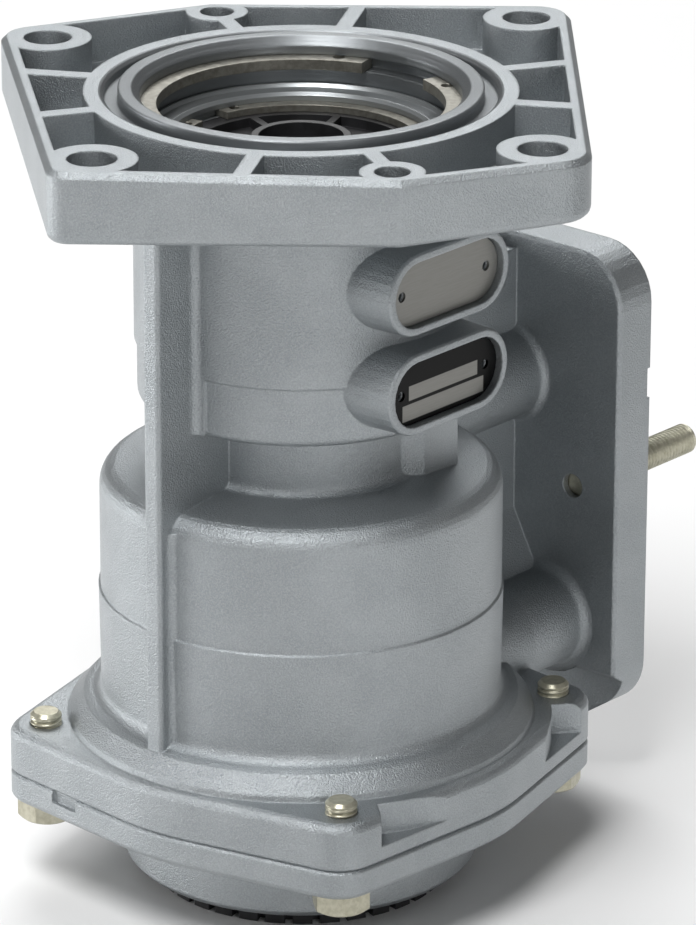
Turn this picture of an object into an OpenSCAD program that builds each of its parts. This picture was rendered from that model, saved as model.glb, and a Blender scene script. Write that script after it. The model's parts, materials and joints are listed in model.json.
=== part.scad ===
// Dual-circuit foot brake valve with a mounting flange on top and a port plate at one side.
// The valve's axis is Z, the mounting face is z = 0, the ports face +X and the nameplates face -Y.

/* [Mounting flange] */
// Thickness of the flange, measured at the axis
flange_h = 15.6; // [15:0.1:20]
// Bevel round the top edge of the flange
flange_bevel = 1.45; // [1:0.05:2.6]
// Slope of the flange's underside, in degrees
flange_slope = 1.6; // [0:0.1:2]
// Edge of the flange's flat face outside a main hole's centre
main_margin = 10.15; // [9.5:0.05:12]
// Edge of the flange's flat face outside a small hole's centre
side_margin = 6.35; // [6:0.05:8]
// Distance of the hole at the port side from the axis
port_hole_at = 82; // [80:0.5:86]
// Distance of the rear hole from the axis
rear_hole_at = 76; // [74:0.5:80]
// Distance of the hole opposite the ports from the axis
left_hole_at = 73.5; // [72:0.5:78]
// Distance of the front hole from the axis
front_hole_at = 74; // [72:0.5:78]
// Bore of the main holes
main_hole_d = 12; // [10:0.5:13]
// Bore of the two small holes
side_hole_d = 8.5; // [7:0.5:9]
// Pitch circle of the two small holes
side_pcd = 136; // [134:0.5:140]
// Flat rim between the bevel and the pockets
rim_w = 1.95; // [1.5:0.05:4]
// Thickness of the webs between the pockets
web_t = 4.2; // [3:0.1:6]
// Floor under the pockets
pocket_floor = 4.6; // [3.6:0.1:6]

/* [Centring collar] */
// Outer radius of the ring inside the pockets
ring_r = 53; // [52:0.1:55]
// Outer radius of the seal groove
groove_r = 48; // [47:0.1:49]
// Depth of the seal groove
groove_h = 2.6; // [1.5:0.1:3]
// Radius of the collar that centres the pedal plate
collar_r = 44.6; // [44:0.1:45.5]
// Height of the collar over the flange face
collar_h = 0.9; // [0.5:0.1:2]

/* [Body casting] */
// Outer radius of the upper cylinder
upper_r = 41.2; // [41:0.1:42.5]
// Depth of the step in the upper cylinder below the flange face
upper_step_at = 62.9; // [55:0.1:66]
// Radius lost at that step
upper_step = 0.7; // [0.3:0.1:1]
// Depth of the upper cylinder's lower end
upper_end = 78.4; // [77:0.1:80]
// Outer radius of the neck
neck_r = 29.5; // [29:0.1:31]
// Depth of the shoulder
shoulder_at = 95.5; // [95:0.1:97]
// Outer radius of the lower cylinder
lower_r = 50.2; // [50:0.1:52]
// Depth of the seam ledge round the lower cylinder
seam_at = 128.2; // [120:0.5:134]
// Height of the seam ledge
seam_step = 0.5; // [0.2:0.1:0.8]
// Depth of the inner edge of the conical band
band_at = 157.8; // [157:0.1:159]
// Outer radius of the conical band
band_r = 58.4; // [58:0.1:59.5]
// Height of the screw flange
base_h = 12.2; // [11:0.1:13]
// Depth of the joint between body and cover
body_h = 175.7; // [175:0.1:178]
// Radius of the screw flange between its ears
base_r = 61.6; // [61:0.1:63]
// Radius of each ear round its screw
ear_r = 9.8; // [9:0.1:11]
// Distance of each ear's centre from the axis
ear_at = 63.8; // [63:0.1:66]
// Radius of the screw circle
screw_at = 64.7; // [63.8:0.1:65.5]
// Thickness of the fin opposite the ports
fin_t = 5.2; // [4:0.1:8]
// Reach of the fin from the axis
fin_at = 54.3; // [53:0.1:56]

/* [Port plate] */
// Inner face of the port plate from the axis
plate_at = 80; // [78:0.5:84]
// Thickness of the port plate
plate_t = 12.5; // [12:0.5:15]
// Width of the port plate
plate_w = 73.2; // [72:0.2:84]
// Depth of the port plate's upper edge
plate_top = 56.7; // [54:0.1:58]
// Depth of the port plate's lower edge
plate_end = 188.2; // [186:0.1:194]
// Bore of each port
port_d = 11; // [10:0.5:12]
// Outer radius of the upper supply tube
supply_tube_r = 12.3; // [12:0.1:13]
// Outer radius of the lower tubes
lower_tube_r = 12.7; // [12:0.1:13.2]
// Depth of the upper supply port
supply_at = 94.6; // [94:0.1:95.5]
// Depth of the two lower ports
lower_port_at = 158.6; // [157.5:0.1:159]
// Distance of each lower port from the middle
lower_port_side = 14.4; // [14:0.1:16]
// Thread diameter of the studs
stud_d = 8; // [7:0.5:10]
// Length of a stud outside the plate
stud_reach = 34.5; // [20:0.5:40]
// Distance of each stud from the middle
stud_side = 22; // [20:0.5:26]
// Depth of the studs
stud_at = 121; // [118:0.5:126]

/* [Nameplate bosses] */
// Front face of the bosses from the axis
boss_at = 48.1; // [46.5:0.1:49]
// Width of a boss
boss_w = 44.1; // [43:0.1:48]
// Height of a boss
boss_h = 20.6; // [20:0.1:23]
// Rim left round a nameplate
boss_rim = 2; // [1.5:0.1:3]
// Depth of the recess for a nameplate
recess_h = 2.8; // [1.6:0.1:3.2]
// Thickness of a nameplate
tag_t = 0.8; // [0.5:0.1:1]
// Spacing of the two pin holes in a nameplate
tag_pin_gap = 31; // [28:0.5:33]

/* [Upper circuit] */
// Radius of the bore at the mouth
mouth_r = 39.2; // [39:0.1:39.8]
// Depth of the upper circlip's top face
clip_at = 3.5; // [3.2:0.1:5]
// Thickness of the upper circlip
clip_t = 2.7; // [2:0.1:3]
// Radius of the reaction piston's bore
piston_r = 38; // [37:0.1:38.2]
// Depth of the reaction piston's top edge at rest
piston_at = 10.2; // [9.5:0.1:12]
// Length of the reaction piston's skirt
skirt_h = 38.5; // [36:0.5:40]
// Radius inside the reaction piston's skirt
skirt_in_r = 32; // [31:0.1:32.4]
// Radius of the hole in the plunger
plunger_bore_r = 10.4; // [8:0.1:11]
// Thickness of the rubber graduating spring
rubber_h = 19; // [17:0.5:20]
// Stroke of the reaction piston
piston_stroke = 4; // [3:0.1:4]
// Depth of the bridge that carries the upper inlet seat
bridge_at = 64; // [63:0.5:66]
// Radius of the inlet seat openings
seat_r = 12.5; // [11.5:0.1:13]

/* [Lower circuit] */
// Radius of the relay piston's bore
relay_r = 46; // [45:0.1:46.2]
// Depth of the relay piston's top face at rest
relay_at = 109; // [108.5:0.1:111]
// Thickness of the relay piston's disc
relay_t = 6; // [5:0.5:7]
// Depth of the valve housing's top face
housing_at = 142; // [140:0.5:143]

/* [Cover and silencer] */
// Thickness of the cover's flange
cover_h = 7.6; // [7:0.1:9]
// Radius of the cover's boss
cover_boss_r = 44.7; // [44:0.1:47]
// Depth of the cover boss's lower end
cover_end = 201; // [200:0.5:206]
// Radius of the castellated silencer ring
silencer_r = 37.5; // [36.5:0.1:37.8]
// Reach of the silencer ring below the cover
silencer_reach = 5; // [4:0.5:7]
// Number of teeth round the silencer ring
tooth_n = 34; // [24:1:40]
// Cover screw thread diameter
screw_d = 8; // [7:0.5:9]

/* [Hidden] */
$fn = 96;

// Clearances: a running fit, a loose fit, a face that only touches
run_gap = 0.06;
loose_gap = 0.3;
touch_gap = 0.05;
cut = 1;
arc_n = 6;

// Angles of the flange holes, webs and ears
main_at = [[port_hole_at, -2], [rear_hole_at, 98], [left_hole_at, 180], [front_hole_at, 272]];
side_angles = [60, 240];
web_angles = [30, 60, 120, 150, 210, 240, 300, 330];
ear_a0 = 50;
ear_angles = [for (k = [0:3]) ear_a0 + 90 * k];
screw_turn = 0.45;

// Flange corners in order round the axis: distance, angle, margin, corner rounding, spread
corners = [
    [port_hole_at, -2, main_margin, 7.6, 0.78],
    [side_pcd / 2, 60, side_margin, 1.6, 0.98],
    [rear_hole_at, 98, main_margin, 7.6, 0.78],
    [left_hole_at, 180, main_margin, 4.4, 0.78],
    [side_pcd / 2, 240, side_margin, 1.6, 0.98],
    [front_hole_at, 272, main_margin, 8.4, 0.78]];

// Depths worked out from the sizes above
base_top = body_h - base_h;
cover_bottom = body_h + cover_h;
foot = cover_end + silencer_reach;
bore_top_step = clip_at + clip_t + 0.2;
upper_floor = upper_end - 5.4;
bridge_t = 5;
seat_lip = 1;
valve_gap = 0.2;
exhaust_gap = 1.3;
valve_stroke = 0.75 * piston_stroke;
cup_wall = 3;
chamber_r = neck_r - 4;
partition_at = shoulder_at - 2.5;
partition_end = shoulder_at + 9.5;
insert_step = 6.7;
insert_flange_r = relay_r + 6;

// Reaction piston
rim_drop = 0.95;
skirt_end = piston_at + skirt_h;
clip2_at = piston_at + 3.1;
clip2_t = 1.8;
plunger_top = clip2_at + clip2_t + touch_gap;
plunger_t = 6;
plunger_bottom = plunger_top + plunger_t;
rubber_top = plunger_bottom + touch_gap;
piston_floor = rubber_top + rubber_h + touch_gap;
floor_t = 5.5;
well_h = 6.5;
well_r = 13.6;
plunger_tube_r = 12.8;
plunger_tube_end = piston_floor + 0.4;
piston_under = piston_floor + well_h + 4;
stem_r = 8.5;
stem_end = bridge_at + bridge_t + seat_lip + valve_gap - exhaust_gap;
wire_a = 2.4;

// Upper inlet valve
valve_top = bridge_at + bridge_t + seat_lip + valve_gap;
valve_disc_r = seat_r + 3;
face_h = 1.6;
valve_disc_h = 4;
tube_r = 7.5;
tube_bore_r = 5;
tube_end = relay_at + 4.5;
guide_r = 11;
guide_flange_r = 16;
guide_flange_h = 3;

// Relay piston and lower valve
relay_skirt_end = relay_at + 15;
relay_stem_r = 12;
stop_r = 30;
lower_seat_r = seat_r + 3;
housing_top_t = 5;
lower_valve_top = housing_at + housing_top_t + seat_lip + valve_gap;
relay_stem_end = lower_valve_top - exhaust_gap;
lower_disc_r = lower_seat_r + 3;
lower_tube_bore_r = 6;
lower_tube_or = 8.5;
housing_wall = 6;
housing_in_r = relay_r - housing_wall;
lower_guide_at = lower_valve_top + valve_disc_h + 12.3;
lower_guide_t = 6;
guide_clip_t = 1.6;
lower_tube_end = cover_bottom - 5;

// Cover and silencer
cavity_r = cover_boss_r - 6;
cover_mouth_r = 34;
cavity_top = cover_bottom + 6.7;
silencer_flange_t = 2.5;
silencer_ring_t = 1.8;
silencer_in_r = silencer_r - 5;
tooth_gap = 2;
tooth_h = 3.6;
head_h = 5.5;
head_r = 7.5;
screw_tip = 3.4;
seal_r = base_r - 6;

// Points of an arc in a plane
function arc(c, r, a0, a1, n = arc_n) =
    [for (k = [0:n]) c + r * [cos(a0 + (a1 - a0) * k / n), sin(a0 + (a1 - a0) * k / n)]];

// Direction of the outward normal of the line that touches two circles [x, y, r]
function touch_normal(a, b) =
    atan2(b[1] - a[1], b[0] - a[0]) - acos((a[2] - b[2]) / norm([b[0] - a[0], b[1] - a[1]]));

// Bring an angle to within half a turn above a start angle
function after(a, start) = a < start ? after(a + 360, start) : a > start + 360 ? after(a - 360, start) : a;

// Outline round a ring of circles taken in order, each grown by g, with n steps per circle
function band(c, g = 0, n = arc_n) = [for (i = [0:len(c) - 1])
    let (p = c[(i + len(c) - 1) % len(c)], q = c[(i + 1) % len(c)],
        a0 = touch_normal(p, c[i]), a1 = after(touch_normal(c[i], q), a0))
    for (k = [0:n]) let (a = a0 + (a1 - a0) * k / n)
        [c[i][0], c[i][1]] + (c[i][2] + g) * [cos(a), sin(a)]];

// Solid whose outline changes from layer to layer; a layer is [z, growth, rise per X], lowest first
module lofted(c, layers, n = arc_n) {
    rings = [for (l = layers) [for (p = band(c, l[1], n)) [p[0], p[1], l[0] + (len(l) > 2 ? l[2] * p[0] : 0)]]];
    m = len(rings[0]);
    top = (len(rings) - 1) * m;
    polyhedron(
        points = [for (r = rings) each r],
        faces = concat(
            [[for (i = [0:m - 1]) i]],
            [for (j = [0:len(rings) - 2], i = [0:m - 1]) let (k = (i + 1) % m)
                [j * m + i, (j + 1) * m + i, (j + 1) * m + k, j * m + k]],
            [[for (i = [m - 1:-1:0]) top + i]]));
}

// Circle of a flange corner whose edges lie inset inside the margin
function corner(c, inset = 0) =
    let (m = c[2] - inset, q = max(c[3] - inset, 0.8), d = c[0] + (m - q) / c[4])
    [d * cos(c[1]), d * sin(c[1]), q];

// Circles of the screw flange: each ear, then the round stretch after it
eared = [for (a = ear_angles) each
    [[ear_at * cos(a), ear_at * sin(a), ear_r], [0.001 * cos(a + 45), 0.001 * sin(a + 45), base_r]]];

module at_polar(list) {
    for (p = list) translate([p[0] * cos(p[1]), p[0] * sin(p[1]), 0]) children();
}

module at_ears() {
    for (a = ear_angles) rotate([0, 0, a + screw_turn]) translate([screw_at, 0, 0]) children();
}

// Hollow cylinder from depth top down to depth end
module sleeve(r_out, r_in, top, end) {
    translate([0, 0, -end]) difference() {
        cylinder(r = r_out, h = end - top);
        translate([0, 0, -cut]) cylinder(r = r_in, h = end - top + 2 * cut);
    }
}

// Solid cylinder from depth top down to depth end
module plug(r, top, end) {
    translate([0, 0, -end]) cylinder(r = r, h = end - top);
}

// Cylinder along +X from x0 to x1
module bar_x(r, x0, x1, y, depth) {
    translate([x0, y, -depth]) rotate([0, 90, 0]) cylinder(r = r, h = x1 - x0);
}

// Cylinder between two points
module bar(p, q, r) {
    d = q - p;
    translate(p) rotate([0, acos(d[2] / norm(d)), atan2(d[1], d[0])]) cylinder(r = r, h = norm(d));
}

// Ring of round section seated at a depth
module o_ring(mean_r, cord_r, depth) {
    translate([0, 0, -depth]) rotate_extrude() translate([mean_r, 0]) circle(r = cord_r, $fn = 24);
}

// Compression spring with ground ends: a wire swept along a helix whose ends lie flat
module coil_spring(mean_r, wire_r, top, end, turns) {
    sides = 6;
    steps = 12;
    rows = turns * steps;
    rise = end - top - 2 * wire_r;
    function lift(t) = let (s = max(0, min(1, (t * turns - 0.75) / (turns - 1.5)))) s;
    pts = [for (j = [0:rows]) let (t = j / rows, a = 360 * turns * t)
        for (i = [0:sides - 1]) let (b = 360 * i / sides + 30,
            r = mean_r + wire_r * cos(b), z = -end + wire_r + rise * lift(t) + wire_r * sin(b))
            [r * cos(a), r * sin(a), z]];
    faces = concat(
        [[for (i = [sides - 1:-1:0]) i]],
        [for (j = [0:rows - 1], i = [0:sides - 1]) let (k = (i + 1) % sides)
            [j * sides + i, j * sides + k, (j + 1) * sides + k, (j + 1) * sides + i]],
        [[for (i = [0:sides - 1]) rows * sides + i]]);
    polyhedron(points = pts, faces = faces);
}

// Open ring with two pierced lugs; the gap's middle lies at angle a
module circlip(r_out, r_in, top, t, a, half_gap, hole_turn, hole_r) {
    rotate([0, 0, a]) translate([0, 0, -top - t]) difference() {
        cylinder(r = r_out, h = t);
        translate([0, 0, -cut]) cylinder(r = r_in, h = t + 2 * cut);
        translate([0, 0, -cut]) linear_extrude(t + 2 * cut)
            polygon([[0, 0], for (s = [-1, 0, 1]) 2 * r_out * [cos(s * half_gap), sin(s * half_gap)]]);
        for (s = [-1, 1]) rotate([0, 0, s * hole_turn])
            translate([(r_out + r_in) / 2, 0, -cut]) cylinder(r = hole_r, h = t + 2 * cut, $fn = 24);
    }
}

// Outer form of the casting below the flange, turned round the axis
module body_turned() {
    f = 2.5;
    rotate_extrude() polygon(concat(
        [[0, -flange_h + 6], [upper_r, -flange_h + 6], [upper_r, -upper_step_at],
            [upper_r - upper_step, -upper_step_at - 0.5]],
        arc([upper_r - upper_step - f, -upper_end + f], f, 0, -90),
        arc([neck_r + f, -upper_end - f], f, 90, 180),
        arc([neck_r + f, -shoulder_at + f + 0.5], f, 180, 270),
        arc([lower_r - 5.5, -shoulder_at - 6.5], 5.5, 88, 0),
        [[lower_r, -seam_at], [lower_r + seam_step, -seam_at - 0.3]],
        arc([lower_r + seam_step + 3, -band_at + 4], 3.4, 180, 262),
        [[band_r - 3.7, -band_at], [band_r, -band_at - 4.2], [band_r + 0.4, -base_top],
            [band_r + 0.4, -body_h], [0, -body_h]]));
}

// The flange block with its bevel and rounded lower edge, and the sloping underside
module flange_block() {
    r = 2.2;
    tilt = tan(flange_slope);
    lofted([for (k = corners) corner(k)], concat(
        [for (a = [0, 30, 60, 90]) [-flange_h + r * (1 - cos(a)), flange_bevel - r * (1 - sin(a)), tilt]],
        [[-flange_bevel, flange_bevel], [0, 0]]));
}

// Twelve cast pockets in the flange's face
module flange_pockets() {
    difference() {
        translate([0, 0, pocket_floor - flange_h]) linear_extrude(flange_h)
            polygon(band([for (k = corners) corner(k, rim_w)]));
        translate([0, 0, -flange_h - cut]) cylinder(r = ring_r, h = flange_h + 3 * cut);
        translate([0, 0, -flange_h - cut]) at_polar(main_at)
            cylinder(r = main_hole_d / 2 + 5, h = flange_h + 3 * cut);
        translate([0, 0, -flange_h - cut]) at_polar([for (a = side_angles) [side_pcd / 2, a]])
            cylinder(r = side_hole_d / 2 + 3.6, h = flange_h + 3 * cut);
        for (a = web_angles) rotate([0, 0, a]) translate([ring_r - 4, -web_t / 2, -flange_h - cut])
            cube([60, web_t, flange_h + 3 * cut]);
    }
}

// Seal groove and raised collar, cut and added at the flange's face
module collar() {
    rotate_extrude() polygon([[mouth_r - 4, -clip_at], [mouth_r - 4, collar_h], [collar_r - 0.3, collar_h],
        [collar_r, collar_h - 0.3], [collar_r, -clip_at]]);
}

module seal_groove() {
    rotate_extrude() polygon([[collar_r, cut], [groove_r + 1 + cut, cut], [groove_r, -1],
        [groove_r, -groove_h], [collar_r, -groove_h]]);
}

// Fin from the flange down to the conical band, with a flared root on each cylinder
module fin() {
    root = 2.5;
    half = fin_t / 2;
    translate([0, 0, -band_at - 1]) linear_extrude(band_at + 1 - flange_h + 4) polygon(concat(
        [[0, -half]], arc([-fin_at + 1, -half + 1], 1, 270, 180, 3), arc([-fin_at + 1, half - 1], 1, 180, 90, 3),
        [[0, half]]));
    for (r = [[upper_r, flange_h - 4, upper_end - 1], [lower_r, shoulder_at + 5, band_at]])
        translate([0, 0, -r[2]]) linear_extrude(r[2] - r[1]) for (s = [-1, 1])
            polygon(concat([[-r[0] + 6, 0]], arc([-r[0] - root + 0.4, s * (half + root)], root, -s * 90, 0, 5),
                [[-r[0] + 6, s * (half + root)]]));
}

function obround(w, h) = [[w / 2 - h / 2, 0, h / 2], [-w / 2 + h / 2, 0, h / 2]];

tag_rows = [38.9, 64.2];

// Bosses for the nameplates, and the lug on the neck under the lower one
module nameplate_bosses() {
    for (d = tag_rows) translate([0, 0, -d]) rotate([90, 0, 0])
        lofted(obround(boss_w, boss_h), [[30, 0.6], [boss_at - 0.5, 0], [boss_at, -0.45]], 14);
    lug_face = 31.9;
    translate([0, 0, -shoulder_at - 1]) linear_extrude(shoulder_at - upper_end + 5)
        polygon([[0, -24], [4.4, -neck_r + 0.2], [9.9, -lug_face], [22.4, -lug_face], [22.4, -16]]);
}

module nameplate_recesses() {
    for (d = tag_rows) translate([0, 0, -d]) rotate([90, 0, 0]) {
        translate([0, 0, boss_at - recess_h]) linear_extrude(recess_h + cut)
            polygon(band(obround(boss_w - 2 * boss_rim, boss_h - 2 * boss_rim), 0, 12));
        for (s = [-1, 1]) translate([s * tag_pin_gap / 2, 0, boss_at - recess_h - 4])
            cylinder(r = 1.1, h = 6, $fn = 24);
    }
}

upper_delivery = [13, 66.5];

// Vertical plate that carries the ports, thinner below its inner step
module port_plate() {
    side_r = 14;
    end_r = 12;
    step_at = 170.1;
    step_in = 4.6;
    y = plate_w / 2 - side_r;
    c = [[-y, -plate_top - side_r, side_r], [-y, 19 - plate_end, side_r], [6.6 - y, end_r - plate_end, end_r],
        [y - 6.6, end_r - plate_end, end_r], [y, 19 - plate_end, side_r], [y, -plate_top - side_r, side_r]];
    difference() {
        translate([plate_at, 0, 0]) rotate([90, 0, 90])
            lofted(c, [[0, -0.9], [0.9, 0], [plate_t, 0]], 8);
        translate([plate_at, -plate_w, -step_at]) rotate([90, 0, 0]) mirror([0, 0, 1])
            linear_extrude(2 * plate_w) polygon([[-cut, 0], [0, 0], [step_in, -3.2], [step_in, -40], [-cut, -40]]);
    }
}

// Tubes and webs between the body and the port plate
module port_tubes() {
    reach = plate_at + 2;
    bar_x(supply_tube_r, 20, reach, 0, supply_at);
    bar_x(port_d / 2 + 4, 30, reach, upper_delivery[0], upper_delivery[1]);
    for (s = [-1, 1]) bar_x(lower_tube_r, 30, reach, s * lower_port_side, lower_port_at);
    web = 5;
    translate([20, -web / 2, -lower_port_at]) cube([reach - 20, web, lower_port_at - plate_top - 4]);
    tent = lower_port_at - 31.5;
    translate([40, 0, 0]) rotate([90, 0, 90]) linear_extrude(reach - 40)
        polygon([[0, -tent], [lower_port_side - 4, -tent - 19.6], [lower_port_side - 4, -lower_port_at],
            [4 - lower_port_side, -lower_port_at], [4 - lower_port_side, -tent - 19.6]]);
    for (s = [-1, 1]) translate([0, s * lower_port_side, -lower_port_at]) rotate([0, 90, 0]) {
        translate([0, 0, 42]) cylinder(r1 = lower_tube_r + 2.2, r2 = lower_tube_r, h = 18);
        flare(lower_tube_r, 3);
    }
    translate([0, 0, -supply_at]) rotate([0, 90, 0]) flare(supply_tube_r, 2.4);
}

// Concave flare round a tube where it meets the port plate
module flare(r, f) translate([0, 0, plate_at + 0.1]) rotate_extrude()
    polygon(concat([[0, 0], [r + f, 0]], arc([r + f, -f], f, 90, 180, 6), [[r, -f - 0.1], [0, -f - 0.1]]));

riser_low = [66, lower_port_side - 3.4, -lower_port_at];
riser_high = [relay_r - 6, 0, -relay_skirt_end - 6];

// Everything hollow inside the casting that is turned round the axis
module body_bores() {
    rotate_extrude() polygon([
        [0, collar_h + cut], [mouth_r + 2.1 + cut, collar_h + cut], [mouth_r, collar_h - 2.1],
        [mouth_r, -bore_top_step], [piston_r, -bore_top_step], [piston_r, -upper_floor],
        [chamber_r + cup_wall, -upper_floor], [chamber_r + cup_wall, -bridge_at],
        [seat_r, -bridge_at], [seat_r, -bridge_at - bridge_t - seat_lip],
        [seat_r + 1.5, -bridge_at - bridge_t - seat_lip], [seat_r + 2.2, -bridge_at - bridge_t],
        [chamber_r, -bridge_at - bridge_t], [chamber_r, -partition_at],
        [guide_r + 0.02, -partition_at], [guide_r + 0.02, -partition_end],
        [relay_r, -partition_end], [relay_r, -body_h + insert_step],
        [insert_flange_r + 0.1, -body_h + insert_step], [insert_flange_r + 0.1, -body_h - cut],
        [0, -body_h - cut]]);
    plug(mouth_r + 2.2, clip_at - 0.1, clip_at + clip_t + 0.1);
}

// Drilled and cored passages, port bores and stud holes
module port_bores() {
    out = plate_at + plate_t;
    bar_x(port_d / 2, 18, out + cut, 0, supply_at);
    bar_x(port_d / 2, 30, out + cut, upper_delivery[0], upper_delivery[1]);
    bar_x(port_d / 2, 38, out + cut, -lower_port_side, lower_port_at);
    bar_x(port_d / 2, riser_low[0] - 3, out + cut, lower_port_side, lower_port_at);
    bar(riser_low, riser_high, 3);
    for (p = port_list) bar_x(port_d / 2 + 2.6, out - 2, out + cut, p[0], p[1]);
    for (s = [-1, 1]) {
        bar_x(stud_d / 2 - 0.2, plate_at + 2, out + cut, s * stud_side, stud_at);
        bar_x(stud_d / 2 - 0.8, plate_at - cut, out, s * stud_side, stud_at);
        bar_x(stud_d / 2 + 0.3, out - 0.8, out + cut, s * stud_side, stud_at);
    }
    translate([-neck_r - 1, 0, -partition_end - cut]) cylinder(r = 1.6, h = partition_end - upper_floor + 2 * cut);
    translate([out - 1, -plate_w / 2 - cut, -supply_at - 1.9]) cube([2, 14, 8]);
}

port_list = [[0, supply_at], upper_delivery, [-lower_port_side, lower_port_at], [lower_port_side, lower_port_at]];

// Reliefs between the front and right ears: angle of the ear, start beside it, radius of the inner wall
reliefs = [[ear_angles[2], 9.8, base_r + 0.7], [ear_angles[3], -37.4, base_r + 1.6]];

// Screw flange with rounded top edge and the reliefs beside two of its ears
module body_base() {
    difference() {
        lofted(eared, [[-body_h, -0.7], [-body_h + 0.7, 0], [-base_top - 2.2, 0], [-base_top - 1.4, -0.35],
            [-base_top - 0.5, -1.1], [-base_top, -2.2]]);
        for (e = reliefs) rotate([0, 0, e[0]]) difference() {
            translate([40, e[1], -base_top - 8]) cube([40, 30, 8 + cut]);
            translate([0, 0, -base_top - 9]) cylinder(r = e[2], h = 12);
        }
    }
}

module valve_body() color([0.66, 0.68, 0.69]) difference() {
    union() {
        body_turned();
        flange_block();
        fin();
        nameplate_bosses();
        port_plate();
        port_tubes();
        body_base();
        collar();
    }
    seal_groove();
    flange_pockets();
    body_bores();
    nameplate_recesses();
    port_bores();
    translate([0, 0, -flange_h - 4]) at_polar(main_at) cylinder(d = main_hole_d, h = flange_h + 5);
    translate([0, 0, -flange_h - 4]) at_polar([for (a = side_angles) [side_pcd / 2, a]])
        cylinder(d = side_hole_d, h = flange_h + 5);
    at_ears() plug(screw_d / 2, base_top - cut, body_h + cut);
}

// Cast cover that closes the lower circuit and holds the silencer
module bottom_cover() color([0.63, 0.65, 0.66]) difference() {
    union() {
        lofted(eared, [[-cover_bottom, -1.4], [-cover_bottom + 0.5, -0.6], [-cover_bottom + 1.4, 0],
            [-body_h - 0.7, 0], [-body_h, -0.7]]);
        rotate_extrude() polygon(concat(
            [[0, -cover_bottom + 1], [cover_boss_r, -cover_bottom + 1], [cover_boss_r, -cover_end + 1.5]],
            [[cover_boss_r - 1.5, -cover_end], [0, -cover_end]]));
    }
    rotate_extrude() polygon([[0, -body_h + cut], [cover_mouth_r, -body_h + cut], [cover_mouth_r, -cavity_top],
        [cavity_r, -cavity_top], [cavity_r, -cover_end - cut], [0, -cover_end - cut]]);
    plug(cavity_r + 1.3, cavity_top + silencer_flange_t + 0.05,
        cavity_top + silencer_flange_t + silencer_ring_t + 0.25);
    translate([0, 0, -body_h]) rotate_extrude() translate([seal_r, 0]) square([2.6, 3.4], center = true);
    at_ears() plug(screw_d / 2 + 0.3, body_h - cut, cover_bottom + cut);
    translate([-base_r - cut, 21.5, -body_h - 3.2]) cube([4, 8.6, 3.2 + cut]);
}

module cover_seal() color([0.08, 0.08, 0.08]) o_ring(seal_r, 0.82, body_h + 0.85);

// Hexagon screws from below, whose chamfered tips stand out of the body's ears
module cover_screws() color([0.85, 0.83, 0.72]) at_ears() {
    r = screw_d / 2 - touch_gap;
    plug(r, base_top - screw_tip + 0.9, cover_bottom + 1);
    translate([0, 0, screw_tip - base_top - 0.9]) cylinder(r1 = r, r2 = r - 0.9, h = 0.9);
    translate([0, 0, -cover_bottom - head_h]) intersection() {
        cylinder(r = head_r, h = head_h, $fn = 6);
        cylinder(r1 = head_r * 0.88, r2 = head_r * 0.88 + head_h, h = head_h);
    }
}

module upper_circlip() color([0.72, 0.69, 0.63])
    circlip(mouth_r + 2, mouth_r - 4, clip_at, clip_t, 0, 16.5, 27.5, 1.5);

module lower_circlip() color([0.6, 0.58, 0.54])
    circlip(skirt_in_r + 1.4, skirt_in_r - 3.2, clip2_at, clip2_t, 90, 9, 16, 1.3);

// Black plunger that the pedal's push rod stands in
module plunger() color([0.07, 0.07, 0.07]) difference() {
    union() {
        plug(skirt_in_r - loose_gap, plunger_top, plunger_bottom);
        rotate_extrude() polygon([[0, -plunger_top - 1], [14.5, -plunger_top - 1], [12.8, -plunger_top + 2.6],
            [12.2, -plunger_top + 3.2], [0, -plunger_top + 3.2]]);
        plug(plunger_tube_r, plunger_bottom - 1, plunger_tube_end);
    }
    plug(plunger_bore_r, plunger_top - 5, plunger_tube_end - 3);
    difference() {
        plug(27, plunger_top - cut, plunger_top + 2.5);
        plug(16, plunger_top - 2 * cut, plunger_top + 4);
        for (k = [0:7]) rotate([0, 0, 22.5 + 45 * k]) translate([0, -1, -plunger_top - 4]) cube([30, 2, 8]);
    }
}

module graduating_spring() color([0.12, 0.12, 0.12]) difference() {
    translate([0, 0, -rubber_top - rubber_h]) rotate_extrude() polygon(concat(
        [[plunger_tube_r + 1.2, 0], [27.5, 0]], arc([26.5, rubber_h / 2], 4, -60, 60, 8), [[27.5, rubber_h],
        [plunger_tube_r + 1.2, rubber_h]]));
}

module reaction_piston() color([0.6, 0.62, 0.63]) difference() {
    rotate_extrude() polygon([
        [0, -stem_end], [stem_r, -stem_end], [stem_r, -piston_under - 1.5], [stem_r + 1.5, -piston_under],
        [stem_r + 6, -piston_under], [stem_r + 9, -piston_floor - floor_t],
        [skirt_in_r, -piston_floor - floor_t], [skirt_in_r, -skirt_end],
        [piston_r - run_gap, -skirt_end], [piston_r - run_gap, -piston_at - 0.3],
        [piston_r - run_gap - 0.3, -piston_at], [piston_r - 0.9, -piston_at],
        [piston_r - 1.6, -piston_at - rim_drop], [skirt_in_r + 0.9, -piston_at - rim_drop],
        [skirt_in_r, -piston_at - rim_drop - 0.8], [skirt_in_r, -piston_floor], [well_r + 0.6, -piston_floor],
        [well_r, -piston_floor - 0.6], [well_r, -piston_floor - well_h], [0, -piston_floor - well_h]]);
    plug(skirt_in_r + 1.6, clip2_at - 0.05, clip2_at + clip2_t + 0.05);
    plug(stem_r - 2.6, stem_end - 5, stem_end + cut);
    for (g = piston_grooves) sleeve(piston_r + cut, piston_r - g[1], g[0] - g[2] / 2, g[0] + g[2] / 2);
}

// Grooves of the skirt: depth, radial depth, width
piston_grooves = [[piston_at + 16, 1.7, 6.4], [skirt_end - 6, 3.2, 4.4]];

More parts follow.
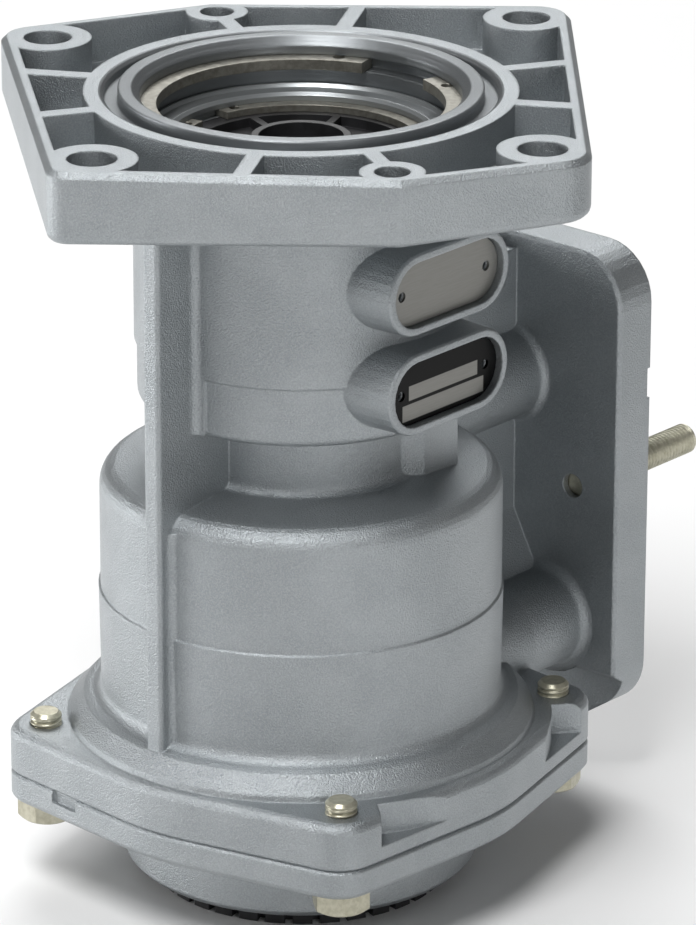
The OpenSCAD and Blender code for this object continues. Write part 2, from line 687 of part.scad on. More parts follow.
module piston_seal() color([0.1, 0.1, 0.1]) {
    g = piston_grooves[1];
    o_ring(piston_r - g[1] + 1.62, 1.55, g[0]);
}

module piston_guide_ring() color([0.85, 0.82, 0.72]) {
    g = piston_grooves[0];
    sleeve(piston_r - 0.03, piston_r - g[1] + 0.05, g[0] - g[2] / 2 + 0.1, g[0] + g[2] / 2 - 0.1);
}

module piston_return_spring() color([0.75, 0.75, 0.72])
    coil_spring(22, wire_a / 2, piston_floor + floor_t + 0.1, bridge_at - 0.1, 3);

module upper_valve() color([0.8, 0.7, 0.4]) difference() {
    union() {
        plug(valve_disc_r, valve_top + face_h, valve_top + valve_disc_h);
        plug(tube_r, valve_top, tube_end);
    }
    plug(tube_bore_r, valve_top - cut, tube_end + cut);
}

module upper_valve_face() color([0.1, 0.1, 0.1]) sleeve(valve_disc_r, tube_r, valve_top, valve_top + face_h);

module upper_valve_spring() color([0.75, 0.75, 0.72])
    coil_spring(12, 0.8, valve_top + valve_disc_h + 0.1, partition_at - guide_flange_h - 0.1, 4);

module upper_valve_guide() color([0.82, 0.72, 0.42]) difference() {
    union() {
        plug(guide_r, partition_at, partition_end);
        plug(guide_flange_r, partition_at - guide_flange_h, partition_at);
    }
    plug(tube_r + run_gap, partition_at - guide_flange_h - cut, partition_end + cut);
    plug(tube_r + 2, partition_at + 4, partition_at + 6.6);
}

module upper_guide_seal() color([0.1, 0.1, 0.1]) o_ring(tube_r + 1.02, 0.9, partition_at + 5.3);

module relay_piston() color([0.6, 0.62, 0.63]) difference() {
    rotate_extrude() polygon([
        [0, -relay_at], [stop_r, -relay_at], [stop_r, -partition_end - loose_gap],
        [stop_r + 3, -partition_end - loose_gap], [stop_r + 3, -relay_at], [relay_r - 3, -relay_at],
        [relay_r - 2.5, -relay_at - 1.5], [relay_r - run_gap, -relay_at - 2], [relay_r - run_gap, -relay_skirt_end],
        [relay_r - 7, -relay_skirt_end], [relay_r - 7, -relay_at - relay_t], [relay_stem_r + 3, -relay_at - relay_t],
        [relay_stem_r, -relay_at - relay_t - 3], [relay_stem_r, -relay_stem_end], [0, -relay_stem_end]]);
    plug(lower_tube_bore_r, relay_at + 5, relay_stem_end + cut);
    plug(tube_r + run_gap, relay_at - cut, relay_at + 5 + piston_stroke);
    plug(relay_stem_r - 2.6, relay_stem_end - 3, relay_stem_end + cut);
    sleeve(relay_r + cut, relay_r - relay_groove[1], relay_groove[0] - relay_groove[2] / 2,
        relay_groove[0] + relay_groove[2] / 2);
}

relay_groove = [relay_at + 9, 3.2, 4.4];

module relay_seal() color([0.1, 0.1, 0.1]) o_ring(relay_r - relay_groove[1] + 1.62, 1.55, relay_groove[0]);

module relay_return_spring() color([0.75, 0.75, 0.72])
    coil_spring(28, 1.2, relay_at + relay_t + 0.1, housing_at - 0.1, 4);

// Housing that carries the lower inlet seat, pushed into the bore from below
module valve_housing() color([0.62, 0.64, 0.65]) difference() {
    rotate_extrude() polygon([
        [lower_seat_r, -housing_at], [relay_r - 0.05, -housing_at], [relay_r - 0.05, -body_h + insert_step],
        [insert_flange_r, -body_h + insert_step], [insert_flange_r, -body_h], [housing_in_r, -body_h],
        [housing_in_r, -housing_at - housing_top_t], [lower_seat_r + 2.2, -housing_at - housing_top_t],
        [lower_seat_r + 1.5, -housing_at - housing_top_t - seat_lip],
        [lower_seat_r, -housing_at - housing_top_t - seat_lip]]);
    bar_x(port_d / 2 + 0.4, housing_in_r - 6, relay_r + cut, -lower_port_side, lower_port_at);
    for (a = [54:72:270]) rotate([0, 0, a]) bar_x(port_d / 2, housing_in_r - 4, relay_r + cut, 0, lower_port_at);
    for (g = housing_grooves) sleeve(relay_r + cut, relay_r - 2.6, g - 1.6, g + 1.6);
    plug(housing_in_r + 1.6, lower_guide_at + lower_guide_t + 0.05, lower_guide_at + lower_guide_t + guide_clip_t + 0.15);
}

housing_grooves = [housing_at + 5, body_h - insert_step - 2.4];

module housing_seals() color([0.1, 0.1, 0.1]) for (g = housing_grooves) o_ring(relay_r - 1.28, 1.2, g);

module lower_valve() color([0.8, 0.7, 0.4]) difference() {
    union() {
        plug(lower_disc_r, lower_valve_top + face_h, lower_valve_top + valve_disc_h);
        plug(lower_tube_or, lower_valve_top, lower_tube_end);
    }
    plug(lower_tube_bore_r, lower_valve_top - cut, lower_tube_end + cut);
}

module lower_valve_face() color([0.1, 0.1, 0.1])
    sleeve(lower_disc_r, lower_tube_or, lower_valve_top, lower_valve_top + face_h);

module lower_valve_spring() color([0.75, 0.75, 0.72])
    coil_spring(13, 0.8, lower_valve_top + valve_disc_h + 0.1, lower_guide_at - 0.1, 3);

module lower_valve_guide() color([0.82, 0.72, 0.42]) difference() {
    plug(housing_in_r - 0.05, lower_guide_at, lower_guide_at + lower_guide_t);
    plug(lower_tube_or + run_gap, lower_guide_at - cut, lower_guide_at + lower_guide_t + cut);
    sleeve(housing_in_r + cut, housing_in_r - 2.6, lower_guide_at + 1.4, lower_guide_at + 4.6);
}

module lower_guide_seal() color([0.1, 0.1, 0.1]) o_ring(housing_in_r - 1.28, 1.2, lower_guide_at + 3);

module guide_circlip() color([0.6, 0.58, 0.54])
    circlip(housing_in_r + 1.4, housing_in_r - 3, lower_guide_at + lower_guide_t + 0.1, guide_clip_t, 90, 9, 15, 1.2);

// Castellated ring with a spoked floor that the exhaust leaves through
module exhaust_silencer() color([0.13, 0.13, 0.13]) difference() {
    union() {
        sleeve(silencer_r, silencer_in_r, cavity_top, foot);
        sleeve(cavity_r - 0.2, silencer_r - 1, cavity_top, cavity_top + silencer_flange_t);
        plug(7, cavity_top + 1, cavity_top + 5);
        for (k = [0:5]) rotate([0, 0, 60 * k]) translate([3, -1.5, -cavity_top - 4.5]) cube([silencer_in_r - 2, 3, 3]);
    }
    for (k = [0:tooth_n - 1]) rotate([0, 0, 360 * (k + 0.5) / tooth_n])
        translate([silencer_in_r + 2.5, -tooth_gap / 2, -foot - cut]) cube([10, tooth_gap, tooth_h + cut]);
    plug(2.05, cavity_top, cavity_top + 6);
}

module silencer_ring() color([0.6, 0.58, 0.54])
    circlip(cavity_r + 1.1, silencer_r + 0.3, cavity_top + silencer_flange_t + 0.1, silencer_ring_t, 90, 9, 14, 0.6);

module exhaust_flap() color([0.1, 0.1, 0.1]) sleeve(silencer_in_r - 1.5, 2.1, cavity_top + 5.05, cavity_top + 6.8);

module flap_pin() color([0.13, 0.13, 0.13]) {
    plug(2, cavity_top + 0.5, cavity_top + 7);
    plug(5, cavity_top + 6.85, cavity_top + 8.4);
    plug(3.2, cavity_top + 0.1, cavity_top + 0.95);
}

// Bare tag with two pin holes, lying in the recess of its boss
module nameplate(depth) {
    translate([0, 0, -depth]) rotate([90, 0, 0]) difference() {
        translate([0, 0, boss_at - recess_h]) linear_extrude(tag_t)
            polygon(band(obround(boss_w - 2 * boss_rim - 0.4, boss_h - 2 * boss_rim - 0.4), 0, 12));
        for (s = [-1, 1]) translate([s * tag_pin_gap / 2, 0, boss_at - recess_h - cut])
            cylinder(r = 1.3, h = 4, $fn = 24);
    }
}

module upper_nameplate() color([0.65, 0.65, 0.61]) nameplate(tag_rows[0]);

module lower_nameplate() color([0.05, 0.05, 0.05]) nameplate(tag_rows[1]);

module port_studs() color([0.7, 0.68, 0.58]) for (s = [-1, 1]) {
    face = plate_at + plate_t;
    out = face + stud_reach;
    bar_x(stud_d / 2 - 0.25, plate_at + 2.2, face + 0.2, s * stud_side, stud_at);
    bar_x(stud_d / 2 - 0.03, face + 0.1, out - 1, s * stud_side, stud_at);
    translate([out - 1, s * stud_side, -stud_at]) rotate([0, 90, 0])
        cylinder(r1 = stud_d / 2 - 0.03, r2 = stud_d / 2 - 1, h = 1);
}

module port_seals() color([0.1, 0.1, 0.1]) for (p = port_list)
    translate([plate_at + plate_t - 1.1, p[0], -p[1]]) rotate([0, 90, 0])
        rotate_extrude() translate([port_d / 2 + 1.6, 0]) circle(r = 0.85, $fn = 24);

valve_body();
bottom_cover();
cover_seal();
cover_screws();
upper_circlip();
lower_circlip();
plunger();
graduating_spring();
reaction_piston();
piston_seal();
piston_guide_ring();
piston_return_spring();
upper_valve();
upper_valve_face();
upper_valve_spring();
upper_valve_guide();
upper_guide_seal();
relay_piston();
relay_seal();
relay_return_spring();
valve_housing();
housing_seals();
lower_valve();
lower_valve_face();
lower_valve_spring();
lower_valve_guide();
lower_guide_seal();
guide_circlip();
exhaust_silencer();
silencer_ring();
exhaust_flap();
flap_pin();
upper_nameplate();
lower_nameplate();
port_studs();
port_seals();
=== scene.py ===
import json
import math

import bmesh
import bpy
import numpy as np
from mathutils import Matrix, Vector

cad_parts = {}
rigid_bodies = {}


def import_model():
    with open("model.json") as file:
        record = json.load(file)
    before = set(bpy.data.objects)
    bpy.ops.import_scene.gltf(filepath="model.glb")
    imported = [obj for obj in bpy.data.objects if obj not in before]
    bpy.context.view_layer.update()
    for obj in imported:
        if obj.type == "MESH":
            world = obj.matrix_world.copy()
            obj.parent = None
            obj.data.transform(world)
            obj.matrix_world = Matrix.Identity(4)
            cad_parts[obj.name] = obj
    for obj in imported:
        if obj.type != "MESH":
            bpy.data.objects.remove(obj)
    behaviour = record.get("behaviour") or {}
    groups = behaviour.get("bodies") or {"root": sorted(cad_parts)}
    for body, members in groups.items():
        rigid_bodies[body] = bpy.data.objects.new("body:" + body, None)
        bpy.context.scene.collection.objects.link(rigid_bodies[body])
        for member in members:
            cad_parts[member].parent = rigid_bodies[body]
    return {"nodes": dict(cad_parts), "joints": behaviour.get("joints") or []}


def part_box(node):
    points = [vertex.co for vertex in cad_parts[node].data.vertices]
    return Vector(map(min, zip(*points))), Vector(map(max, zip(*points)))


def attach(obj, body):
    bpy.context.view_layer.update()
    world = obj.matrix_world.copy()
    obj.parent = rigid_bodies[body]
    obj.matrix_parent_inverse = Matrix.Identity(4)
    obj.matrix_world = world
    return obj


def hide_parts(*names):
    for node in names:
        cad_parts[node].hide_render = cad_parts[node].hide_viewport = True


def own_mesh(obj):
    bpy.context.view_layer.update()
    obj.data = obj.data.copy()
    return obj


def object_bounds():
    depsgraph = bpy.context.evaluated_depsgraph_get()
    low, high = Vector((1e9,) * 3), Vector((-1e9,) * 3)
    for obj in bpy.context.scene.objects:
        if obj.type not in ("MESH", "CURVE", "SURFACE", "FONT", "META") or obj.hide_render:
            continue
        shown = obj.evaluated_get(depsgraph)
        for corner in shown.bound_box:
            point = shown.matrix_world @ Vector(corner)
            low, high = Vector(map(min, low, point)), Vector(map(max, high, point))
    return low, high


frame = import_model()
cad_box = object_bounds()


# The camera. It stands where the photograph was taken from: a long lens, 21 degrees above the level,
# with the nameplates towards its right and the port plate at the far right.
MM = 0.001
VIEW_TURN = math.radians(48.2)
VIEW_RISE = math.radians(20.96)
VIEW_REACH = 1.4898
AIM = Vector((0, 0, -95 * MM))
FOCAL_PX = 6000
FRAME_W, FRAME_H = 696, 925
AXIS_PX = (301.1, 453.9)

scene = bpy.context.scene
to_right = Vector((math.cos(VIEW_TURN), -math.sin(VIEW_TURN), 0))
to_back = Vector((math.sin(VIEW_TURN), math.cos(VIEW_TURN), 0))
up = Vector((0, 0, 1))


def placed(right, back, rise):
    """A point from its distances to the right of the valve, behind it and above its flange, in metres."""
    return to_right * right + to_back * back + up * rise


def aimed(obj, at, target):
    """Puts a lamp or camera at a point and turns it to look at another."""
    obj.location = at
    obj.rotation_euler = (target - at).to_track_quat("-Z", "Y").to_euler()
    scene.collection.objects.link(obj)
    return obj


camera_data = bpy.data.cameras.new("camera")
camera_data.sensor_width = 36
camera_data.lens = camera_data.sensor_width * FOCAL_PX / FRAME_H
camera_data.shift_x = (FRAME_W / 2 - AXIS_PX[0]) / FRAME_H
camera_data.shift_y = (AXIS_PX[1] - FRAME_H / 2) / FRAME_H
camera_data.clip_start, camera_data.clip_end = 0.05, 20
camera_at = AIM + placed(0, -VIEW_REACH * math.cos(VIEW_RISE), VIEW_REACH * math.sin(VIEW_RISE))
scene.camera = aimed(bpy.data.objects.new("camera", camera_data), camera_at, AIM)
scene.view_settings.view_transform = "Standard"


# Floor and light. The valve stands on its silencer ring on a pale floor. A lamp above its front makes the
# shoulders shine, a high one behind it the level faces and one beside it the left edges, and a weak one
# at the right fills in. The sky is dim, and only the camera sees it white.
FLOOR_Z = cad_box[0].z
FLOOR_GAP = 0.1 * MM
BACKDROP = 6.0
SKY_LIGHT = 0.15
SKY_SEEN = 1.0


def lamp(name, at, size, watts):
    data = bpy.data.lights.new(name, "AREA")
    data.shape = "DISK"
    data.size = size
    data.energy = watts
    aimed(bpy.data.objects.new(name, data), at, AIM)


lamp("left_lamp", placed(-1.65, 0.3, -0.1), size=0.9, watts=19)
lamp("top_lamp", placed(-0.4, -0.9, 1.6), size=0.9, watts=29)
lamp("back_lamp", placed(0.0, 1.5, 1.7), size=1.6, watts=35)
lamp("front_lamp", placed(0.9, -1.9, 0.2), size=0.9, watts=6)

world = bpy.data.worlds.new("studio")
scene.world = world
world.use_nodes = True
sky = world.node_tree
light_path = sky.nodes.new("ShaderNodeLightPath")
seen = sky.nodes.new("ShaderNodeMath")
seen.operation = "MULTIPLY_ADD"
sky.links.new(light_path.outputs["Is Camera Ray"], seen.inputs[0])
seen.inputs[1].default_value = SKY_SEEN - SKY_LIGHT
seen.inputs[2].default_value = SKY_LIGHT
sky.links.new(seen.outputs[0], sky.nodes["Background"].inputs["Strength"])
sky.nodes["Background"].inputs["Color"].default_value = (1, 1, 1, 1)


class Wire:
    """One socket of a finish. Arithmetic on wires adds Math nodes."""

    def __init__(self, finish, socket):
        self.finish = finish
        self.socket = socket

    def math(self, operation, *values):
        return self.finish.node("ShaderNodeMath", {"operation": operation}, *values)

    def __add__(self, other):
        return self.math("ADD", self, other)

    def __radd__(self, other):
        return self.math("ADD", other, self)

    def __sub__(self, other):
        return self.math("SUBTRACT", self, other)

    def __rsub__(self, other):
        return self.math("SUBTRACT", other, self)

    def __mul__(self, other):
        return self.math("MULTIPLY", self, other)

    def __rmul__(self, other):
        return self.math("MULTIPLY", other, self)

    def rise(self, low, high):
        """0 below low and 1 above high, with a smooth step between; low may be the larger one."""
        settings = {"interpolation_type": "SMOOTHSTEP"}
        return self.finish.node("ShaderNodeMapRange", settings, self, low, high)

    def at_least(self, other):
        return self.math("MAXIMUM", self, other)

    def size(self):
        return self.math("ABSOLUTE", self)

    def root(self):
        return self.math("SQRT", self)


class Finish:
    """One material. Its patterns are laid out in millimetres of the valve's own frame."""

    def __init__(self, name):
        self.material = bpy.data.materials.new(name)
        self.material.use_nodes = True
        self.tree = self.material.node_tree
        self.shader = self.tree.nodes["Principled BSDF"]

    def node(self, kind, settings=None, *values, out=0, **named):
        """Adds a node: settings are its own options, values fill its inputs in order, named ones by name."""
        made = self.tree.nodes.new(kind)
        for key, value in (settings or {}).items():
            setattr(made, key, value)
        for key, value in list(enumerate(values)) + list(named.items()):
            self.feed(made.inputs[key.replace("_", " ") if isinstance(key, str) else key], value)
        return Wire(self, made.outputs[out])

    def feed(self, socket, value):
        if isinstance(value, Wire):
            self.tree.links.new(value.socket, socket)
        elif value is not None:
            socket.default_value = value

    def surface(self, **named):
        """Sets inputs of the surface shader; a colour is three linear values."""
        for key, value in named.items():
            if isinstance(value, tuple):
                value = (*value, 1.0)
            self.feed(self.shader.inputs[key.replace("_", " ")], value)
        return self.material

    def place(self):
        """The point on the piece, in millimetres, as one vector and as x, y and z."""
        point = self.node("ShaderNodeTexCoord", out="Object")
        point = self.node("ShaderNodeVectorMath", {"operation": "SCALE"}, point, Scale=1 / MM)
        split = self.node("ShaderNodeSeparateXYZ", None, point).socket.node
        return point, *[Wire(self, split.outputs[axis]) for axis in "XYZ"]

    def noise(self, point, size, detail=2.0, rough=0.5):
        """Noise between 0 and 1 whose largest lumps are about size millimetres apart."""
        named = {"Scale": 1 / size, "Detail": detail, "Roughness": rough}
        return self.node("ShaderNodeTexNoise", None, Vector=point, **named)

    def turned_rings(self, along, per_mm, detail):
        """Noise between 0 and 1 that changes only along one measure, such as a radius."""
        settings = {"noise_dimensions": "1D"}
        return self.node("ShaderNodeTexNoise", settings, W=along, Scale=per_mm, Detail=detail)

    def blend(self, share, low, high):
        """A colour between two, each of them three linear values or a wire."""
        low, high = [(*c, 1.0) if isinstance(c, tuple) else c for c in (low, high)]
        mixed = self.node("ShaderNodeMix", {"data_type": "RGBA"}).socket.node
        for key, value in ((0, share), (6, low), (7, high)):
            self.feed(mixed.inputs[key], value)
        return Wire(self, mixed.outputs[2])

    def bump(self, height, depth_mm, under=None):
        """A normal pushed by a height between 0 and 1 that stands for depth_mm."""
        named = {"Strength": 1.0, "Distance": depth_mm * MM, "Height": height, "Normal": under}
        return self.node("ShaderNodeBump", None, **named)

    def soft_edges(self, radius_mm):
        """The normal of the surface with its sharp edges rounded."""
        return self.node("ShaderNodeBevel", {"samples": 6}, radius_mm * MM)


bpy.ops.mesh.primitive_plane_add(size=BACKDROP, location=(0, 0, FLOOR_Z - FLOOR_GAP))
floor = bpy.context.object
floor.name = "floor"
floor.data.materials.append(Finish("pale_floor").surface(Base_Color=(0.86, 0.86, 0.86), Roughness=0.9))


# Body and cover. Both are die-cast in aluminium and shot-blasted, which leaves a fine even grain. The
# collar and bore of the body and the inside of the cover are turned afterwards, so they are smoother.
CAST_GREY = (0.32, 0.345, 0.36)
CAST_PALE = (0.355, 0.38, 0.395)
GRAIN_PALE = (0.62, 0.64, 0.65)
TURNED_GREY = (0.25, 0.265, 0.275)
GRAIN_SIZE = 0.42
GRAIN_DEPTH = 0.27
CLOUD_SIZE = 14.0
CAST_EDGES = 0.8
GROOVE_R = 49.2
BORE_TURNED_TO = -11.5
COVER_INSIDE_R = 39.6
COVER_TURNED_TO = -201.5

nodes = frame["nodes"]


def dress(names, material):
    """Gives CAD nodes a material."""
    for name in names:
        slots = nodes[name].data.materials
        slots.clear()
        slots.append(material)


def cast_aluminium(name, turned_inside, turned_above):
    """Cast grain everywhere but within a radius and above a height, where turned rings take its place."""
    finish = Finish(name)
    point, x, y, z = finish.place()
    radius = (x * x + y * y).root()
    grain = finish.noise(point, GRAIN_SIZE, 2.0, 0.6)
    clouds = finish.noise(point, CLOUD_SIZE, 2.0, 0.5)
    rings = finish.turned_rings(radius + z * 1.7, 6.0, 2.0)
    cut = radius.rise(turned_inside + 0.2, turned_inside - 0.2)
    cut = cut * z.rise(turned_above - 0.5, turned_above + 0.5)
    colour = finish.blend(clouds.rise(0.3, 0.7), CAST_GREY, CAST_PALE)
    colour = finish.blend(grain.rise(0.35, 0.75) * 0.32, colour, GRAIN_PALE)
    colour = finish.blend(cut, colour, TURNED_GREY)
    height = grain * (1 - cut) + rings * cut * 0.12
    rough = 0.40 - cut * 0.04 + (grain - 0.5) * 0.3
    return finish.surface(
        Base_Color=colour, Metallic=0.88, Roughness=rough,
        Normal=finish.bump(height, GRAIN_DEPTH, finish.soft_edges(CAST_EDGES)))


dress(["valve_body"], cast_aluminium("cast_body", GROOVE_R, BORE_TURNED_TO))
dress(["bottom_cover"], cast_aluminium("cast_cover", COVER_INSIDE_R, COVER_TURNED_TO))


# Pistons and valve housing. They are turned from aluminium bar, so fine rings run round them, dark in
# the tool's marks and bright between them.
TURNED_DARK = (0.30, 0.32, 0.33)
TURNED_BRIGHT = (0.44, 0.46, 0.47)


def turned_aluminium():
    finish = Finish("turned_aluminium")
    point, x, y, z = finish.place()
    rings = finish.turned_rings((x * x + y * y).root() + z * 1.3, 5.0, 3.0)
    return finish.surface(
        Base_Color=finish.blend(rings.rise(0.3, 0.7), TURNED_DARK, TURNED_BRIGHT),
        Metallic=0.8, Roughness=0.34 + (rings - 0.5) * 0.2,
        Normal=finish.bump(rings, 0.02, finish.soft_edges(0.3)))


dress(["reaction_piston", "relay_piston", "valve_housing"], turned_aluminium())


# Steel and brass. Screws and studs are zinc plated, with a faint straw tint. The retaining rings are
# punched from spring steel, and both valves and their guides are turned from brass.
def plated(name, low, high, metallic, rough):
    finish = Finish(name)
    point, x, y, z = finish.place()
    clouds = finish.noise(point, 1.6, 4.0, 0.6)
    scratches = finish.noise(point, 0.25, 2.0, 0.5)
    return finish.surface(
        Base_Color=finish.blend(clouds.rise(0.3, 0.7), low, high),
        Metallic=metallic, Roughness=rough + (clouds - 0.5) * 0.15,
        Normal=finish.bump(scratches, 0.012, finish.soft_edges(0.35)))


zinc = plated("straw_zinc", (0.43, 0.41, 0.31), (0.58, 0.56, 0.45), metallic=0.75, rough=0.34)
spring_steel = plated("spring_steel", (0.24, 0.23, 0.20), (0.34, 0.33, 0.29), metallic=0.75, rough=0.40)
brass = plated("brass", (0.55, 0.40, 0.16), (0.66, 0.50, 0.24), metallic=0.9, rough=0.32)
dress(["upper_circlip", "lower_circlip", "guide_circlip", "silencer_ring"], spring_steel)
dress(["upper_valve", "upper_valve_guide", "lower_valve", "lower_valve_guide"], brass)


# Port studs. Two zinc plated studs stand out of the port plate, where nuts clamp the manifold. Their M8
# threads are rolled and end in a bevel.
THREAD_PITCH = 1.25 * MM
THREAD_DEPTH = 0.62 * MM
CREST_R = 3.98 * MM
END_BEVEL = 0.9 * MM
SHARP_FROM = math.radians(28)


def threaded_bar(start, end, around=48, per_pitch=10):
    """Rings of points of a threaded bar along +Z, from the lower end to the bevelled upper one.

    At angle t and height s the radius is the crest's less the thread's depth times a clipped triangle wave
    of s / THREAD_PITCH - t / 360, which fades out towards the bevel, and no more than the bevel's cone."""
    heights = np.linspace(start, end, int((end - start) / THREAD_PITCH * per_pitch))
    s, t = np.meshgrid(heights, np.linspace(0, 2 * np.pi, around, endpoint=False), indexing="ij")
    wave = np.abs(((s / THREAD_PITCH - t / (2 * np.pi)) % 1) - 0.5) * 2
    fade = np.clip((end - END_BEVEL - s) / END_BEVEL, 0, 1)
    r = CREST_R - THREAD_DEPTH * fade * np.clip(wave * 1.5 - 0.3, 0, 1)
    r = np.minimum(r, CREST_R - END_BEVEL + (end - s))
    return np.stack([r * np.cos(t), r * np.sin(t), s], -1)


def closed_tubes(tubes):
    """Vertices and faces of closed tubes; each is rings of points, fanned to a middle point at both ends."""
    points, faces, first = [], [], 0
    for rings in tubes:
        count, around = rings.shape[:2]
        row, column = np.meshgrid(np.arange(count - 1), np.arange(around), indexing="ij")
        here, beside = row * around + column, row * around + (column + 1) % around
        walls = np.stack([here, here + around, beside + around, beside], -1).reshape(-1, 4)
        edge = np.arange(around)
        ahead = (edge + 1) % around
        last, middle = (count - 1) * around, count * around
        low_fan = np.stack([np.full(around, middle), edge, ahead], -1)
        high_fan = np.stack([np.full(around, middle + 1), last + ahead, last + edge], -1)
        for part in (walls, low_fan, high_fan):
            faces += (part[:, ::-1] + first).tolist()
        points += [rings.reshape(-1, 3), rings[0].mean(0)[None], rings[-1].mean(0)[None]]
        first += middle + 2
    return np.concatenate(points), faces


def new_piece(name, mesh, material, body, stands_for):
    """A piece of one mesh that rides on a body and stands for a CAD node."""
    mesh.materials.clear()
    mesh.materials.append(material)
    made = bpy.data.objects.new(name, mesh)
    scene.collection.objects.link(made)
    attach(made, body)
    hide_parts(stands_for)
    return made


def tube_mesh(name, tubes):
    points, faces = closed_tubes(tubes)
    mesh = bpy.data.meshes.new(name)
    mesh.from_pydata(points.tolist(), [], faces)
    mesh.shade_smooth()
    mesh.set_sharp_from_angle(angle=SHARP_FROM)
    return mesh


stud_low, stud_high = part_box("port_studs")
studs = []
for stud_y in (stud_low.y + CREST_R, stud_high.y - CREST_R):
    bar = threaded_bar(stud_low.x, stud_high.x)[..., [2, 0, 1]]
    studs.append(bar + [0, stud_y, (stud_low.z + stud_high.z) / 2])
stud_mesh = tube_mesh("port_stud_threads", studs)
new_piece("port_stud_threads", stud_mesh, zinc, "casing", "port_studs")


# Cover screws. Four zinc plated hexagon screws come up through the cover into the ears of the body, and
# their tips stand out on top.
SCREW_RING = 64.7 * MM
FIRST_SCREW = 50.45
HEAD_HEIGHT = 5.5 * MM
HEAD_FLATS = 13 * MM
HEAD_FACE_R = 0.465 * HEAD_FLATS
HEAD_RINGS = np.array([0, 0.1, 0.25, 0.4, 0.6, 0.8, 1.1, 2.5, 4.0])[:, None] * MM
SHANK_GAP = 0.01 * MM


def hexagon_head(low, high, around=48):
    """Rings of points of a screw head along +Z, whose lower face is chamfered at its corners.

    At angle t and height h over the lower face the radius is the hexagon's, half its flats over the cosine of
    t from the nearest flat, and no more than the chamfer's cone, HEAD_FACE_R + h times the root of 3."""
    t = np.linspace(0, 2 * np.pi, around, endpoint=False)
    hexagon = HEAD_FLATS / 2 / np.cos(t % (np.pi / 3) - np.pi / 6)
    sides = np.minimum(hexagon, HEAD_FACE_R + HEAD_RINGS * math.sqrt(3))
    r = np.concatenate([sides, [hexagon, np.full(around, CREST_R)]])
    z = np.concatenate([low + HEAD_RINGS, [[high], [high]]])
    return np.stack([r * np.cos(t), r * np.sin(t), np.broadcast_to(z, r.shape)], -1)


screw_low, screw_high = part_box("cover_screws")
head_end = screw_low.z + HEAD_HEIGHT
shank = threaded_bar(head_end + SHANK_GAP, screw_high.z)
screw = np.concatenate([hexagon_head(screw_low.z, head_end), shank])
screws = []
for turn in np.radians(FIRST_SCREW + 90 * np.arange(4)):
    c, d = math.cos(turn), math.sin(turn)
    turned = screw @ np.array([[c, d, 0], [-d, c, 0], [0, 0, 1]])
    screws.append(turned + [SCREW_RING * c, SCREW_RING * d, 0])
screw_mesh = tube_mesh("cover_screw_threads", screws)
new_piece("cover_screw_threads", screw_mesh, zinc, "casing", "cover_screws")


# Black parts. The plunger, silencer and flap pin are moulded in filled plastic, and the seals, valve
# faces, flap and graduating spring in rubber. The piston's guide ring is a pale plastic.
def moulded(name, low, high, rough, grain_size, grain_depth):
    finish = Finish(name)
    point, x, y, z = finish.place()
    clouds = finish.noise(point, 6.0, 3.0, 0.6)
    grain = finish.noise(point, grain_size, 3.0, 0.6)
    return finish.surface(
        Base_Color=finish.blend(clouds.rise(0.3, 0.7), low, high),
        Metallic=0.0, Roughness=rough + (grain - 0.5) * 0.2,
        Normal=finish.bump(grain, grain_depth, finish.soft_edges(0.3)))


black_plastic = moulded("black_plastic", (0.012, 0.012, 0.013), (0.022, 0.022, 0.024), 0.45, 0.5, 0.02)
rubber = moulded("rubber", (0.012, 0.012, 0.012), (0.020, 0.020, 0.021), 0.7, 0.3, 0.015)
guide_plastic = moulded("guide_plastic", (0.60, 0.56, 0.44), (0.66, 0.62, 0.50), 0.5, 0.5, 0.01)
dress(["plunger", "exhaust_silencer", "flap_pin"], black_plastic)
dress(["cover_seal", "piston_seal", "upper_valve_face", "upper_guide_seal", "relay_seal",
       "housing_seals", "lower_valve_face", "lower_guide_seal", "exhaust_flap", "port_seals"], rubber)
dress(["piston_guide_ring"], guide_plastic)


# Springs. Four are wound from steel wire and the graduating spring is a rubber block. Each keeps the
# CAD spring's own shape and rides on the parent body of its joint, where its lower end sits.
WELD = 0.001 * MM


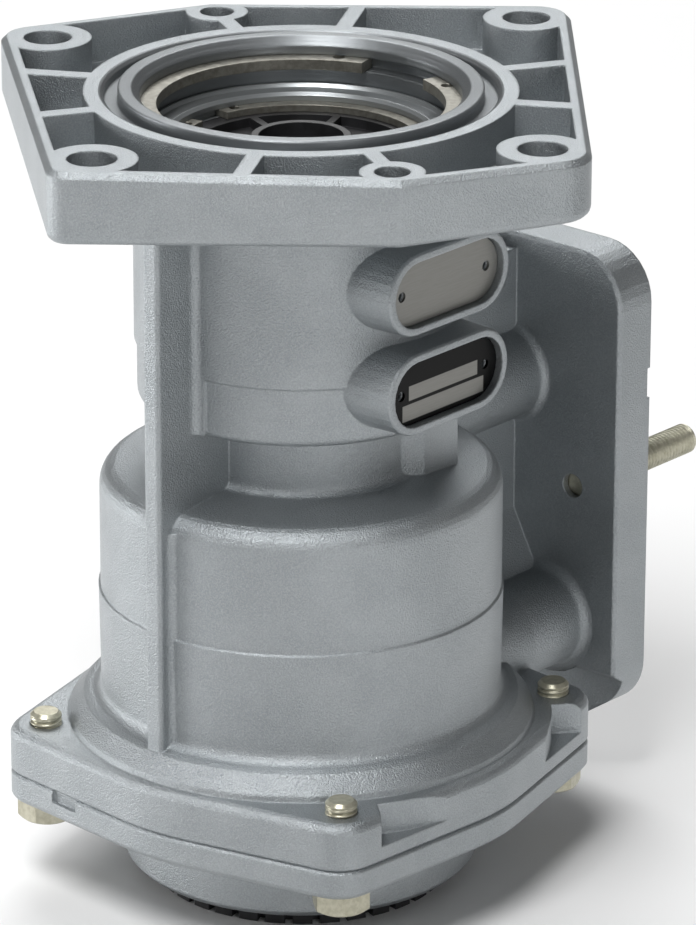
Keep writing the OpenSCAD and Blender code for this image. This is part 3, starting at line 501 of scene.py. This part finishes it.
def spring(node, joint_name, material):
    """The CAD spring's own mesh, welded, on the body that its lower end sits on."""
    joint = next(j for j in frame["joints"] if j["name"] == joint_name)
    mesh = nodes[node].data.copy()
    wound = bmesh.new()
    wound.from_mesh(mesh)
    bmesh.ops.remove_doubles(wound, verts=wound.verts, dist=WELD)
    wound.to_mesh(mesh)
    wound.free()
    low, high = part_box(node)
    made = new_piece(node + "_coils", mesh, material, joint["parent"], node)
    shortest = 1 - joint["range_m"][1] / (high.z - low.z)
    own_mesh(made)


spring("piston_return_spring", "reaction_piston_stroke", spring_steel)
spring("relay_return_spring", "relay_piston_stroke", spring_steel)
spring("upper_valve_spring", "upper_valve_lift", spring_steel)
spring("lower_valve_spring", "lower_valve_lift", spring_steel)
spring("graduating_spring", "plunger_stroke", rubber)


# Nameplates. Two thin tags lie in the recesses of their bosses: the upper one is bare satin metal, the
# lower one is printed black round two blank fields.
TAG_GREY = (0.235, 0.232, 0.215)
TAG_PALE = (0.26, 0.257, 0.24)
TAG_BLACK = (0.012, 0.012, 0.012)
BARE_METALLIC, BLACK_METALLIC = 0.5, 0.95
# Height over the tag's middle, half height and half width of each blank field
FIELDS = [(0.0, 1.85, 12.7), (-4.8, 2.05, 15.0)]
FIELD_BLUR = 0.1

tag_low, tag_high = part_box("lower_nameplate")
lower_tag_z = (tag_low.z + tag_high.z) / 2 / MM


def within(distance, limit):
    return distance.size().rise(limit + FIELD_BLUR, limit - FIELD_BLUR)


def tag_metal(name, fields):
    """Brushed sheet, and where fields are given, black print everywhere else."""
    finish = Finish(name)
    point, x, y, z = finish.place()
    brushed = finish.node("ShaderNodeMapping", None, point, Scale=(0.15, 1, 3))
    strokes = finish.noise(brushed, 0.8, 3.0, 0.6)
    colour = finish.blend(strokes.rise(0.3, 0.7), TAG_GREY, TAG_PALE)
    metallic = BARE_METALLIC
    if fields:
        shown = None
        for rise, half_height, half_width in fields:
            field = within(z - (lower_tag_z + rise), half_height) * within(x, half_width)
            shown = field if shown is None else shown.at_least(field)
        colour = finish.blend(shown, TAG_BLACK, colour)
        metallic = BLACK_METALLIC - shown * (BLACK_METALLIC - BARE_METALLIC)
    return finish.surface(
        Base_Color=colour, Metallic=metallic, Roughness=0.42 + (strokes - 0.5) * 0.06,
        Normal=finish.bump(strokes, 0.004))


dress(["upper_nameplate"], tag_metal("bare_tag", None))
dress(["lower_nameplate"], tag_metal("black_tag", FIELDS))
